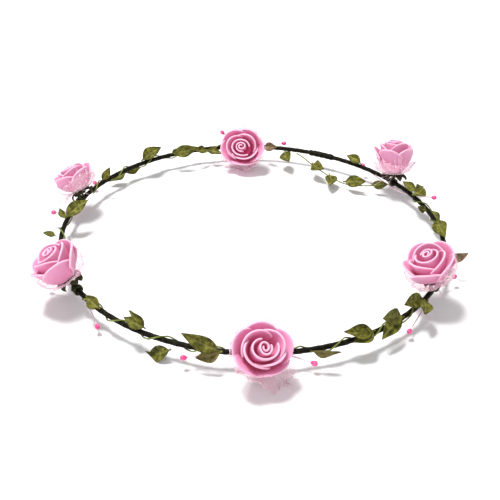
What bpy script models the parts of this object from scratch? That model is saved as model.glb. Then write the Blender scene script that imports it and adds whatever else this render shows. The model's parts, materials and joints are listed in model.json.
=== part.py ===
"""Flower crown: a taped wire ring with twined leaf vine and six foam roses.

The origin is the middle of the crown's footprint on the surface that it lies on, with +Z up and -Y the front.
Everything is in metres. Each rose leans on its own stem, which is coiled round the ring wire.
"""

import math

import bmesh
import bpy
from mathutils import Matrix, Vector

MM = 0.001

# Ring
RING_RADIUS = 95.0 * MM  # to the middle of the wire
RING_CENTRE = Vector((3.3 * MM, 7.0 * MM, 9.0 * MM))  # off the origin, because the roses hang out
CORE_RADIUS = 0.5 * MM
TAPE_THICKNESS = 0.4 * MM
JOIN_ANGLE = 66.0  # where the two ends of the wire meet, in degrees round the ring
JOIN_GAP = 1.0 * MM  # between the two ends of the wire, and of its tape
JOIN_SLEEVE_LENGTH = 14.0 * MM
RING_POINTS = 60
SLEEVE_POINTS = 6

# Fits
CLEARANCE = 0.3 * MM  # between pieces that touch on the real crown

# Vine
VINE_RADIUS = 0.35 * MM
VINE_TURN_LENGTH = 21.0 * MM  # ring length for each turn of the vine
VINE_POINTS_PER_TURN = 7
VINE_MARGIN = 9.0 * MM  # bare ring on each side of a rose stem

# Leaves
LEAF_THICKNESS = 0.4 * MM
LEAF_WIDTH = 7.6 * MM
LEAF_CUP = 0.09  # rise of the edges as a share of the half width
LEAF_CURL = 0.05  # rise of the tip as a share of the length
LEAF_SLIMMEST = 0.52  # largest width as a share of the length, for the short leaves
LEAF_TIP = 0.07  # half width left at the foot and the tip, as a share of the widest
LEAF_BELLY = 0.9  # below 1 moves the widest place towards the foot
LEAF_FULLNESS = 0.85  # below 1 rounds the outline
LEAF_STEPS = 6
LEAF_HUB_RADIUS = 0.6 * MM
LEAF_HUB_LEAN = 2  # pull of the blades on the place of their hub, against that of the facing side
LEAF_FACING = Vector((0.0, -0.8, 0.6))  # the side that the upper faces are pressed to

# Roses, measured along the axis of the head from its foot
HEAD_OUTLINE = (  # share of the radius and share of the depth, from the top down the outer side
    (0.0, 0.96),
    (0.30, 1.0),
    (0.66, 0.96),
    (0.92, 0.84),
    (1.0, 0.55),
    (0.96, 0.40),
    (0.76, 0.18),
)
HEAD_FOOT_RADIUS = 3.4 * MM
SOCKET_DEPTH = 2.5 * MM
HEAD_STEPS = 18
CALYX_THICKNESS = 0.5 * MM
CALYX_NECK_LENGTH = 1.6 * MM
CALYX_NECK_SHARE = 0.2  # part of the sheet that is the neck
CALYX_CUP_RADIUS = 3.2 * MM
SEPAL_LENGTH = 4.2 * MM
SEPAL_DROOP = 2.0 * MM
SEPAL_FULLNESS = 0.8  # below 1 broadens the sepals
SEPAL_BEND = 1.5  # above 1 keeps the droop near the tips
SEPALS = 5
CALYX_GRID = (20, 4)  # points round the sheet and outwards
STEM_RADIUS = 0.45 * MM
STEM_COIL_PITCH = 1.25 * MM
STEM_COIL_TURNS = 2.25
STEM_POINTS_PER_TURN = 9
STEM_STEPS = 4
STEM_STRAIGHT = 1.0 * MM  # straight run of the stem below the neck of the calyx
STEM_LANDING = 0.5  # rise of the stem before it lands on the coil, as a share of the coil's radius
TULLE_THICKNESS = 0.4 * MM
TULLE_COLLAR_RADIUS = 3.2 * MM
TULLE_WAVE = 0.35 * MM
TULLE_WAVES = 7
TULLE_LOBE_FULLNESS = 1.2  # above 1 points the lobe
TULLE_BEND = 1.4  # above 1 keeps the drop near the rim
TULLE_GRID = (24, 5)
THREAD_RADIUS = 0.25 * MM
THREAD_BACK = 5.0 * MM  # straight length under the coil, before and after its first turn
THREAD_AHEAD = 6.0 * MM
THREAD_SAG = 0.6 * MM
THREAD_STEPS = 3
PEARL_RADIUS = 1.25 * MM

TAPE_INNER_RADIUS = CORE_RADIUS + CLEARANCE
TAPE_RADIUS = TAPE_INNER_RADIUS + TAPE_THICKNESS
VINE_HELIX_RADIUS = TAPE_RADIUS + CLEARANCE + VINE_RADIUS
VINE_OUTER_RADIUS = VINE_HELIX_RADIUS + VINE_RADIUS
LEAF_HUB_OFFSET = VINE_OUTER_RADIUS + CLEARANCE + LEAF_HUB_RADIUS
STEM_COIL_RADIUS = TAPE_RADIUS + CLEARANCE + STEM_RADIUS
STEM_COIL_OUTER = STEM_COIL_RADIUS + STEM_RADIUS
THREAD_OFFSET = STEM_COIL_OUTER + CLEARANCE + THREAD_RADIUS
TULLE_DROP = CLEARANCE + TULLE_THICKNESS  # middle of the collar below the foot of the head
CALYX_DROP = TULLE_DROP + TULLE_THICKNESS / 2 + CLEARANCE  # top of the calyx cup
NECK_DROP = CALYX_DROP + CALYX_NECK_LENGTH
STEM_SLEEVE_RADIUS = STEM_RADIUS + CLEARANCE

# Each rose: angle round the ring, bare stem between its coil and the neck of the calyx, azimuth and
# elevation from the wire to the foot of the head, the same of its face, and the radius and depth of the head.
ROSES = (
    (272.5, 0.9 * MM, 261, 34, 288, 51, 12.4 * MM, 14.5 * MM),
    (332.0, 1.4 * MM, 227, 76, 198, 68, 11.5 * MM, 16.0 * MM),
    (35.5, 0.5 * MM, 104, 72, 104, 72, 10.4 * MM, 18.5 * MM),
    (94.0, 1.2 * MM, 270, 8, 262, 36, 12.3 * MM, 14.5 * MM),
    (163.0, 2.0 * MM, 258, 77, 151, 61, 10.0 * MM, 13.5 * MM),
    (213.5, 1.8 * MM, 183, 59, 183, 59, 11.3 * MM, 16.5 * MM),
)

# The long lobe of each tulle frill: its turn from straight down the head, its reach, its drop below
# the collar and its half width in degrees.
TULLE_LOBES = (
    (35, 17.5 * MM, 5.5 * MM, 52),
    (-108, 16.0 * MM, -4.0 * MM, 34),
    (-70, 13.0 * MM, -5.0 * MM, 55),
    (-25, 15.0 * MM, 3.0 * MM, 52),
    (0, 18.0 * MM, 6.0 * MM, 50),
    (95, 13.0 * MM, -4.5 * MM, 55),
)

# The two pearls of each rose's stamen thread, as length along the ring from the stem, distance
# outside the wire and height above it.
PEARLS = (
    ((-31 * MM, 4.5 * MM, -3 * MM), (22 * MM, 4.5 * MM, -4 * MM)),
    ((-30 * MM, 5 * MM, -4.5 * MM), (17 * MM, 6 * MM, -3 * MM)),
    ((-25 * MM, 8.0 * MM, 2 * MM), (26 * MM, 4 * MM, -1 * MM)),
    ((-23 * MM, 5 * MM, 1 * MM), (12 * MM, 8 * MM, 6 * MM)),
    ((-23 * MM, 8 * MM, -4 * MM), (16 * MM, 9 * MM, 0 * MM)),
    ((-14 * MM, 9 * MM, -3 * MM), (24 * MM, 4.5 * MM, -5 * MM)),
)

# Leaves on the ring. Each node has one to three leaves on one hub: the hub's angle round the ring,
# then each leaf's heading from the ring's direction towards the outside, its lift and its length.
RING_LEAVES = (
    (227, (-172, -2, 12 * MM)),
    (242, (175, 14, 11 * MM), (-155, 10, 12 * MM)),
    (250, (-174, -36, 17 * MM)),
    (263, (-176, 21, 19 * MM), (176, -21, 12 * MM)),
    (303, (176, -6, 13 * MM), (-166, 8, 16 * MM)),
    (313, (-177, 21, 17 * MM), (175, -13, 17 * MM)),
    (323, (-162, 11, 16 * MM), (152, 8, 14 * MM)),
    (7, (-180, -4, 18 * MM)),
    (14, (-105, 32, 8 * MM)),
    (17, (166, -21, 10 * MM)),
    (25, (-169, 15, 16 * MM), (58, -10, 10 * MM), (-18, 13, 10 * MM)),
    (79, (-112, -7, 14 * MM)),
    (108, (-158, -12, 10 * MM), (-20, 14, 10 * MM)),
    (121, (-160, 11, 16 * MM), (-120, 42, 8 * MM)),
    (133, (177, 11, 15 * MM)),
    (139, (-178, -4, 11 * MM), (21, -18, 12 * MM)),
    (178, (-137, 16, 16 * MM), (138, 26, 7 * MM)),
    (186, (107, 3, 7 * MM)),
)

# The loose strand of vine, its leaves and the line that it swings about
STRAND_RADIUS = 0.35 * MM
STRAND_POINTS = (  # angle round the ring, distance inside the wire and height above it
    (74.6, 4.1 * MM, 0.2 * MM),
    (71.3, 6.3 * MM, -1.0 * MM),
    (67.3, 8.8 * MM, -3.0 * MM),
    (58.9, 12.9 * MM, -5.0 * MM),
    (51.1, 14.6 * MM, -5.4 * MM),
    (46.1, 11.3 * MM, -5.2 * MM),
    (41.7, 7.3 * MM, -4.0 * MM),
    (38.1, 3.5 * MM, -1.5 * MM),
)
STRAND_STEPS = 4
STRAND_LEAVES = (
    (2, (-62, 8, 15 * MM)),
    (3, (-92, -4, 15 * MM)),
    (4, (-22, 10, 15 * MM)),
)


def clear_scene():
    for obj in list(bpy.data.objects):
        bpy.data.objects.remove(obj, do_unlink=True)


def make_collection(name, hidden=False):
    collection = bpy.data.collections.new(name)
    bpy.context.scene.collection.children.link(collection)
    collection.hide_render = hidden
    return collection


def make_material(name, colour, roughness, metallic=0.0):
    material = bpy.data.materials.new(name)
    material.use_nodes = True
    shader = material.node_tree.nodes["Principled BSDF"]
    shader.inputs["Base Color"].default_value = (*colour, 1.0)
    shader.inputs["Roughness"].default_value = roughness
    shader.inputs["Metallic"].default_value = metallic
    return material


def add_mesh_object(name, bm, material, collection, parent=None):
    mesh = bpy.data.meshes.new(name)
    bm.to_mesh(mesh)
    bm.free()
    mesh.materials.append(material)
    mesh.shade_smooth()
    obj = bpy.data.objects.new(name, mesh)
    collection.objects.link(obj)
    hang_on(obj, parent)
    return obj


def hang_on(obj, parent):
    """Parents the object and leaves it where it is in the world."""
    if parent:
        obj.parent = parent
        obj.matrix_parent_inverse = parent.matrix_world.inverted()


def smooth_path(points, steps):
    """Catmull-Rom curve through the points, with this many steps between neighbours."""
    knots = [Vector(point) for point in points]
    knots = [2 * knots[0] - knots[1], *knots, 2 * knots[-1] - knots[-2]]
    path = []
    for a, b, c, d in zip(knots, knots[1:], knots[2:], knots[3:]):
        for step in range(steps):
            t = step / steps
            path.append(
                0.5 * (2 * b + t * (c - a) + t * t * (2 * a - 5 * b + 4 * c - d)
                       + t**3 * (3 * b - a - 3 * c + d))
            )
    return [*path, knots[-2]]


def add_wire(name, points, radius, material, collection, parent=None, caps=True, sides=1):
    """A stiff wire along the points, with 4 flat sides and 2 more for each step of sides."""
    curve = bpy.data.curves.new(name, "CURVE")
    curve.dimensions = "3D"
    curve.bevel_depth = radius
    curve.bevel_resolution = sides
    curve.use_fill_caps = caps
    spline = curve.splines.new("POLY")
    spline.points.add(len(points) - 1)
    for slot, point in zip(spline.points, points):
        slot.co = (*point, 1.0)
    curve.materials.append(material)
    obj = bpy.data.objects.new(name, curve)
    collection.objects.link(obj)
    hang_on(obj, parent)
    return obj


def make_mesh_of(curve_object):
    """Turns a wire into a closed mesh, so that it can be joined to another solid."""
    bpy.context.view_layer.update()
    graph = bpy.context.evaluated_depsgraph_get()
    mesh = bpy.data.meshes.new_from_object(curve_object.evaluated_get(graph))
    bm = bmesh.new()
    bm.from_mesh(mesh)
    bmesh.ops.remove_doubles(bm, verts=bm.verts, dist=0.001 * MM)
    bm.to_mesh(mesh)
    bm.free()
    name = curve_object.name
    collection = curve_object.users_collection[0]
    placed = curve_object.matrix_world.copy()
    bpy.data.objects.remove(curve_object, do_unlink=True)
    obj = bpy.data.objects.new(name, mesh)
    obj.matrix_world = placed
    collection.objects.link(obj)
    return obj


def add_solidify(obj, thickness, offset=0.0):
    solidify = obj.modifiers.new("Thickness", "SOLIDIFY")
    solidify.thickness = thickness
    solidify.offset = offset
    solidify.use_even_offset = True


def unite(obj, helper, helpers):
    """Joins a helper solid to the object and keeps it as a hidden helper."""
    helper.hide_render = True
    helper.display_type = "WIRE"
    for collection in list(helper.users_collection):
        collection.objects.unlink(helper)
    helpers.objects.link(helper)
    union = obj.modifiers.new("Join", "BOOLEAN")
    union.operation = "UNION"
    union.object = helper


def ring_frame(angle):
    """Point on the wire, and the directions along the ring, outwards and up."""
    turn = math.radians(angle)
    outward = Vector((math.cos(turn), math.sin(turn), 0.0))
    along = Vector((-math.sin(turn), math.cos(turn), 0.0))
    point = RING_CENTRE + outward * RING_RADIUS
    return point, along, outward, Vector((0.0, 0.0, 1.0))


def ring_degrees(length):
    return math.degrees(length / RING_RADIUS)


def direction(azimuth, elevation):
    turn, rise = math.radians(azimuth), math.radians(elevation)
    return Vector((math.cos(rise) * math.cos(turn), math.cos(rise) * math.sin(turn), math.sin(rise)))


def ring_arc(start, end, steps):
    return [ring_frame(start + (end - start) * i / steps)[0] for i in range(steps + 1)]


def add_ring(materials, parts):
    half_gap = ring_degrees(JOIN_GAP) / 2
    arc = ring_arc(JOIN_ANGLE + half_gap, JOIN_ANGLE + 360.0 - half_gap, RING_POINTS)
    add_wire("ring_core_wire", arc, CORE_RADIUS, materials["steel"], parts)
    tape = add_wire("ring_tape_wrap", arc, TAPE_RADIUS, materials["tape"], parts, caps=False, sides=2)
    add_solidify(tape, TAPE_THICKNESS, -1.0)
    half_sleeve = ring_degrees(JOIN_SLEEVE_LENGTH) / 2
    arc = ring_arc(JOIN_ANGLE - half_sleeve, JOIN_ANGLE + half_sleeve, SLEEVE_POINTS)
    outer = TAPE_RADIUS + CLEARANCE + TAPE_THICKNESS
    sleeve = add_wire("ring_join_tape", arc, outer, materials["tape"], parts, caps=False, sides=2)
    add_solidify(sleeve, TAPE_THICKNESS, -1.0)


def add_vines(materials, parts):
    """One length of vine between each pair of roses, but none where the strand hangs loose."""
    margin = ring_degrees(VINE_MARGIN)
    angles = [rose[0] for rose in ROSES]
    number = 0
    for i, start in enumerate(angles):
        end = angles[(i + 1) % len(angles)]
        end += 360.0 if end < start else 0.0
        if start < JOIN_ANGLE < end:
            continue
        number += 1
        start, end = start + margin, end - margin
        turns = math.radians(end - start) * RING_RADIUS / VINE_TURN_LENGTH
        steps = round(turns * VINE_POINTS_PER_TURN)
        points = []
        for step in range(steps + 1):
            point, _, outward, up = ring_frame(start + (end - start) * step / steps)
            phase = 2 * math.pi * turns * step / steps
            points.append(point + VINE_HELIX_RADIUS * (math.cos(phase) * outward + math.sin(phase) * up))
        add_wire(f"vine_wire_{number}", points, VINE_RADIUS, materials["vine"], parts)


def leaf_helper(name, foot, along, facing, length, material, helpers):
    """One leaf blade from its foot, cupped, with a pointed tip that lies flat where it meets the ground."""
    normal = (facing - facing.dot(along) * along).normalized()
    side = normal.cross(along)
    bm = bmesh.new()
    bmesh.ops.create_grid(bm, x_segments=LEAF_STEPS, y_segments=2, size=0.5)
    half_width = min(LEAF_WIDTH, LEAF_SLIMMEST * length) / 2
    for vert in bm.verts:
        s, across = vert.co.x + 0.5, 2 * vert.co.y
        bulge = max(0.0, math.sin(math.pi * max(0.0, s) ** LEAF_BELLY))
        outline = max(bulge**LEAF_FULLNESS, LEAF_TIP)
        rise = LEAF_CURL * length * s * s + LEAF_CUP * half_width * outline * across * across
        place = foot + along * length * s + side * half_width * outline * across
        place += normal * (rise + LEAF_THICKNESS / 2)
        place.z = max(place.z, LEAF_THICKNESS)
        vert.co = place
    bm.normal_update()
    bmesh.ops.solidify(bm, geom=bm.faces[:], thickness=LEAF_THICKNESS)
    for vert in bm.verts:
        vert.co.z = max(vert.co.z, 0.0)
    return add_mesh_object(name, bm, material, helpers)


def add_leaf_node(name, hub, blades, material, parts, helpers, parent=None):
    bm = bmesh.new()
    bmesh.ops.create_uvsphere(bm, u_segments=10, v_segments=6, radius=LEAF_HUB_RADIUS)
    bmesh.ops.translate(bm, verts=bm.verts, vec=hub)
    node = add_mesh_object(name, bm, material, parts, parent)
    for number, (along, length) in enumerate(blades, 1):
        blade = leaf_helper(f"{name}_blade_{number}", hub, along, LEAF_FACING, length, material, helpers)
        unite(node, blade, helpers)


def leaf_direction(along, outward, up, heading, lift):
    turn, rise = math.radians(heading), math.radians(lift)
    flat = math.cos(turn) * along + math.sin(turn) * outward
    return math.cos(rise) * flat + math.sin(rise) * up


def add_ring_leaves(materials, parts, helpers):
    for number, (angle, *leaves) in enumerate(RING_LEAVES, 1):
        point, along, outward, up = ring_frame(angle)
        blades = []
        for heading, lift, length in leaves:
            blades.append((leaf_direction(along, outward, up, heading, lift), length))
        lean = sum((LEAF_HUB_LEAN * blade for blade, _ in blades), LEAF_FACING)
        lean -= lean.dot(along) * along
        hub = point + LEAF_HUB_OFFSET * lean.normalized()
        add_leaf_node(f"leaf_{number:02d}", hub, blades, materials["leaf"], parts, helpers)


def add_strand(materials, parts, helpers):
    """The loose length of vine inside the ring, on an empty that marks its swing axis."""
    knots = []
    for angle, inset, height in STRAND_POINTS:
        point, _, outward, up = ring_frame(angle)
        knots.append(point - inset * outward + height * up)
    first, last = knots[0], knots[-1]
    pivot = bpy.data.objects.new("loose_strand_pivot", None)
    pivot.location = (first + last) / 2
    pivot.rotation_euler = (last - first).to_track_quat("X", "Z").to_euler()
    pivot.empty_display_size = 5 * MM
    parts.objects.link(pivot)
    bpy.context.view_layer.update()
    path = smooth_path(knots, STRAND_STEPS)
    add_wire("loose_vine_strand", path, STRAND_RADIUS, materials["vine"], parts, pivot)
    for number, (knot, (azimuth, lift, length)) in enumerate(STRAND_LEAVES, 1):
        hub = knots[knot].copy()
        hub.z += STRAND_RADIUS + CLEARANCE + LEAF_HUB_RADIUS
        blades = [(direction(azimuth, lift), length)]
        name = f"strand_leaf_{number}"
        add_leaf_node(name, hub, blades, materials["leaf"], parts, helpers, pivot)


def polar_sheet(name, grid, shape, matrix, material, parts, thickness, parent, offset=0.0):
    """A sheet round an axis: shape gives the radius and height for a share outwards and an angle."""
    bm = bmesh.new()
    bmesh.ops.create_grid(bm, x_segments=grid[0], y_segments=grid[1], size=0.5)
    for vert in bm.verts:
        angle = 2 * math.pi * (vert.co.x + 0.5)
        radius, height = shape(0.5 - vert.co.y, angle)
        place = matrix @ Vector((radius * math.cos(angle), radius * math.sin(angle), height))
        place.z = max(place.z, thickness / 2)
        vert.co = place
    bmesh.ops.remove_doubles(bm, verts=bm.verts, dist=0.001 * MM)
    obj = add_mesh_object(name, bm, material, parts, parent)
    add_solidify(obj, thickness, offset)
    return obj


def head_frame(foot, axis):
    """Local +Z is the axis of the head, and local +X points down the head."""
    up = Vector((0.0, 0.0, 1.0))
    down = (axis.dot(up) * axis - up).normalized()
    side = axis.cross(down)
    rows = Matrix((down, side, axis)).transposed().to_4x4()
    return Matrix.Translation(foot) @ rows


def add_head(name, radius, depth, matrix, material, parts, pivot):
    """A turned bowl of petals with a socket for the stem, drawn from its top down the outer side."""
    bore = STEM_SLEEVE_RADIUS
    profile = (
        *((share * radius, rise * depth) for share, rise in HEAD_OUTLINE),
        (HEAD_FOOT_RADIUS, 0.0),
        (bore, 0.0),
        (bore, SOCKET_DEPTH),
        (0.0, SOCKET_DEPTH),
    )
    mesh = bpy.data.meshes.new(name)
    edges = [(i, i + 1) for i in range(len(profile) - 1)]
    mesh.from_pydata([(x, 0.0, z) for x, z in profile], edges, [])
    mesh.materials.append(material)
    obj = bpy.data.objects.new(name, mesh)
    parts.objects.link(obj)
    screw = obj.modifiers.new("Turn", "SCREW")
    screw.steps = screw.render_steps = HEAD_STEPS
    screw.use_merge_vertices = True
    screw.merge_threshold = 0.001 * MM
    screw.use_smooth_shade = True
    obj.parent = pivot
    obj.matrix_local = pivot.matrix_world.inverted() @ matrix


def calyx_shape(share, angle):
    """Neck, cup and drooping sepals, as radius and height."""
    neck, cup = STEM_SLEEVE_RADIUS, CALYX_CUP_RADIUS
    lobe = (0.5 + 0.5 * math.cos(SEPALS * angle)) ** SEPAL_FULLNESS
    if share < CALYX_NECK_SHARE:
        return neck, -NECK_DROP + CALYX_NECK_LENGTH * share / CALYX_NECK_SHARE
    spread = (share - CALYX_NECK_SHARE) / (1 - CALYX_NECK_SHARE)
    reach = cup + SEPAL_LENGTH * lobe
    radius = neck + (reach - neck) * spread
    droop = SEPAL_DROOP * max(0.0, (radius - cup) / SEPAL_LENGTH) ** SEPAL_BEND
    return radius, -CALYX_DROP - droop


def tulle_shape(turn, reach, drop, half_width):
    """A gathered collar under the head with one long lobe."""

    def shape(share, angle):
        away = math.degrees(angle) - turn
        away = (away + 180.0) % 360.0 - 180.0
        lobe = math.cos(math.pi / 2 * min(1.0, abs(away) / half_width)) ** TULLE_LOBE_FULLNESS
        inner = STEM_SLEEVE_RADIUS
        outer = TULLE_COLLAR_RADIUS + (reach - TULLE_COLLAR_RADIUS) * lobe
        radius = inner + (outer - inner) * share
        travel = max(0.0, radius - TULLE_COLLAR_RADIUS) / (reach - TULLE_COLLAR_RADIUS)
        wave = TULLE_WAVE * travel * math.cos(TULLE_WAVES * angle)
        return radius, -TULLE_DROP - drop * travel**TULLE_BEND + wave

    return shape


def add_stem(name, point, along, foot, axis, materials, parts, pivot):
    """A stiff wire from the socket of the head down to a short coil round the ring."""
    neck = foot - NECK_DROP * axis
    lean = neck - point
    lean = (lean - lean.dot(along) * along).normalized()
    side = along.cross(lean)
    top = foot + (SOCKET_DEPTH - CLEARANCE) * axis
    landing = point + STEM_COIL_RADIUS * side
    above_landing = landing + STEM_LANDING * STEM_COIL_RADIUS * lean
    knots = [top, neck, neck - STEM_STRAIGHT * axis, above_landing, landing]
    path = smooth_path(knots, STEM_STEPS)[:-1]
    for step in range(round(STEM_COIL_TURNS * STEM_POINTS_PER_TURN) + 1):
        turn = 2 * math.pi * step / STEM_POINTS_PER_TURN
        swing = math.cos(turn) * side - math.sin(turn) * lean
        forward = STEM_COIL_PITCH * step / STEM_POINTS_PER_TURN
        path.append(point + STEM_COIL_RADIUS * swing + forward * along)
    add_wire(name, path, STEM_RADIUS, materials["stem"], parts, pivot)
    return lean


def add_stamens(name, angle, lean, pearls, materials, parts, helpers):
    """A folded thread under the stem's coil with a pearl on each end."""
    point, along, _, _ = ring_frame(angle)
    under = point - THREAD_OFFSET * lean
    ends = []
    for length, out, rise in pearls:
        place, _, outward, up = ring_frame(angle + ring_degrees(length))
        ends.append(place + out * outward + rise * up)
    back = under - THREAD_BACK * along
    ahead = under + THREAD_AHEAD * along
    sag = THREAD_SAG * lean
    knots = [ends[0], (ends[0] + back) / 2 - sag, back, ahead, (ends[1] + ahead) / 2 - sag, ends[1]]
    path = smooth_path(knots, THREAD_STEPS)
    thread = add_wire(name, path, THREAD_RADIUS, materials["stamen"], parts)
    thread = make_mesh_of(thread)
    for number, end in enumerate(ends, 1):
        bm = bmesh.new()
        bmesh.ops.create_uvsphere(bm, u_segments=10, v_segments=7, radius=PEARL_RADIUS)
        bmesh.ops.translate(bm, verts=bm.verts, vec=end)
        pearl = add_mesh_object(f"{name}_pearl_{number}", bm, materials["stamen"], helpers)
        unite(thread, pearl, helpers)


def add_rose(number, rose, lobe, pearls, materials, parts, helpers):
    angle, bare_stem, lean_azimuth, lean_elevation, azimuth, elevation, radius, depth = rose
    point, along, _, _ = ring_frame(angle)
    axis = direction(azimuth, elevation)
    foot = point + (STEM_COIL_OUTER + bare_stem + NECK_DROP) * direction(lean_azimuth, lean_elevation)
    pivot = bpy.data.objects.new(f"rose_{number}_pivot", None)
    pivot.location = point
    pivot.rotation_euler = (0.0, 0.0, math.radians(angle + 90.0))
    pivot.empty_display_size = 5 * MM
    parts.objects.link(pivot)
    bpy.context.view_layer.update()
    matrix = head_frame(foot, axis)
    add_head(f"rose_{number}_head", radius, depth, matrix, materials["petal"], parts, pivot)
    name = f"rose_{number}_calyx"
    calyx = materials["calyx"]
    polar_sheet(name, CALYX_GRID, calyx_shape, matrix, calyx, parts, CALYX_THICKNESS, pivot, -1.0)
    name = f"rose_{number}_tulle"
    shape = tulle_shape(*lobe)
    polar_sheet(name, TULLE_GRID, shape, matrix, materials["tulle"], parts, TULLE_THICKNESS, pivot)
    lean = add_stem(f"rose_{number}_stem", point, along, foot, axis, materials, parts, pivot)
    add_stamens(f"rose_{number}_stamens", angle, lean, pearls, materials, parts, helpers)


def make_materials():
    return {
        "steel": make_material("Annealed wire", (0.05, 0.05, 0.05), 0.5, 1.0),
        "tape": make_material("Dark paper tape", (0.012, 0.015, 0.006), 0.8),
        "vine": make_material("Green paper wire", (0.20, 0.24, 0.06), 0.75),
        "leaf": make_material("Olive leaf paper", (0.18, 0.21, 0.045), 0.7),
        "petal": make_material("Pink foam", (0.80, 0.20, 0.36), 0.75),
        "calyx": make_material("Dark calyx paper", (0.03, 0.03, 0.012), 0.8),
        "stem": make_material("Stem wire tape", (0.03, 0.04, 0.02), 0.7),
        "tulle": make_material("Pink tulle", (0.90, 0.55, 0.68), 0.6),
        "stamen": make_material("Pearl stamen", (0.75, 0.08, 0.25), 0.3),
    }


def main():
    clear_scene()
    parts = make_collection("flower_crown")
    helpers = make_collection("helpers", hidden=True)
    materials = make_materials()
    add_ring(materials, parts)
    add_vines(materials, parts)
    add_ring_leaves(materials, parts, helpers)
    add_strand(materials, parts, helpers)
    for number, (rose, lobe, pearls) in enumerate(zip(ROSES, TULLE_LOBES, PEARLS), 1):
        add_rose(number, rose, lobe, pearls, materials, parts, helpers)


main()
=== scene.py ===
import json
import math
import random

import bpy
import numpy as np
from mathutils import Matrix, Vector


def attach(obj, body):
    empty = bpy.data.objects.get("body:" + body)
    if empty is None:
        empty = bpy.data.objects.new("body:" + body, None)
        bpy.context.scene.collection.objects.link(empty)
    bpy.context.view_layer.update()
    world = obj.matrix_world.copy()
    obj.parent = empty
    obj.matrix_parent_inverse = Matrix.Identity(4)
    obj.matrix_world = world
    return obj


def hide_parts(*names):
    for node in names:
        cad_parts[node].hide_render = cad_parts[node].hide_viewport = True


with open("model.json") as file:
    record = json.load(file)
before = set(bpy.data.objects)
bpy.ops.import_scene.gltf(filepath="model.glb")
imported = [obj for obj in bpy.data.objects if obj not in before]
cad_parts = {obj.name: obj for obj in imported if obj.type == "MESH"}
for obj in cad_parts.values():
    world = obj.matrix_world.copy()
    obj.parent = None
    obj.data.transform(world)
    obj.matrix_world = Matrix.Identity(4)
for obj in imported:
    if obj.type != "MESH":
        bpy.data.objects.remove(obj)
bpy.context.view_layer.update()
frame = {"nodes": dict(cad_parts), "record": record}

mm = 0.001
upward = Vector((0.0, 0.0, 1.0))
record = frame["record"]
joints = {joint["name"]: joint for joint in record["behaviour"]["joints"]}
ringCentre = Vector(next(m["pos_m"] for m in record["mounts"] if m["name"] == "head_opening"))
ringRadius = (Vector(joints["rose_1_tilt"]["pos_m"]) - ringCentre).length


def toLinear(hexColour):
    parts = [int(hexColour[i:i + 2], 16) / 255 for i in (1, 3, 5)]
    return tuple(p / 12.92 if p <= 0.04045 else ((p + 0.055) / 1.055) ** 2.4 for p in parts) + (1.0,)


def addNode(tree, kind, inputs=None, stops=None, **settings):
    node = tree.nodes.new(kind)
    for key, value in settings.items():
        setattr(node, key, value)
    for key, value in (inputs or {}).items():
        if isinstance(value, bpy.types.NodeSocket):
            tree.links.new(value, node.inputs[key])
        else:
            node.inputs[key].default_value = value
    for i, (place, hexColour) in enumerate(stops or ()):
        stop = node.color_ramp.elements[i] if i < 2 else node.color_ramp.elements.new(place)
        stop.position = place
        stop.color = toLinear(hexColour)
    return node


def newMaterial(name, roughness, **values):
    material = bpy.data.materials.new(name)
    material.use_nodes = True
    shader = material.node_tree.nodes["Principled BSDF"]
    shader.inputs["Roughness"].default_value = roughness
    for key, value in values.items():
        shader.inputs[key.replace("_", " ")].default_value = value
    return material, material.node_tree, shader


def pieceFrom(name, points, faces, material, uvs=None, fields=None, smooth=True):
    mesh = bpy.data.meshes.new(name)
    mesh.from_pydata([tuple(p) for p in points], [], faces)
    if uvs is not None:
        layer = mesh.uv_layers.new(name="sheetMm")
        layer.data.foreach_set("uv", np.asarray(uvs, np.float32).ravel())
    for key, values in (fields or {}).items():
        mesh.attributes.new(key, "FLOAT", "POINT").data.foreach_set("value", np.asarray(values, np.float32))
    mesh.materials.append(material)
    if smooth:
        mesh.shade_smooth()
    piece = bpy.data.objects.new(name, mesh)
    bpy.context.scene.collection.objects.link(piece)
    return piece


class meshParts:
    # gathers thin shells and drops into one mesh
    def __init__(self):
        self.points, self.faces, self.uvs, self.fields = [], [], [], {}

    def add(self, points, faces, uvs, fields):
        start = len(self.points)
        self.points.extend(points)
        self.faces.extend([tuple(start + i for i in face) for face in faces])
        self.uvs.extend(uvs)
        for key, values in fields.items():
            column = self.fields.setdefault(key, [])
            column.extend([0.0] * (start - len(column)))
            column.extend(values)

    def finish(self, name, material):
        for column in self.fields.values():
            column.extend([0.0] * (len(self.points) - len(column)))
        return pieceFrom(name, self.points, self.faces, material, self.uvs, self.fields)


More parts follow.
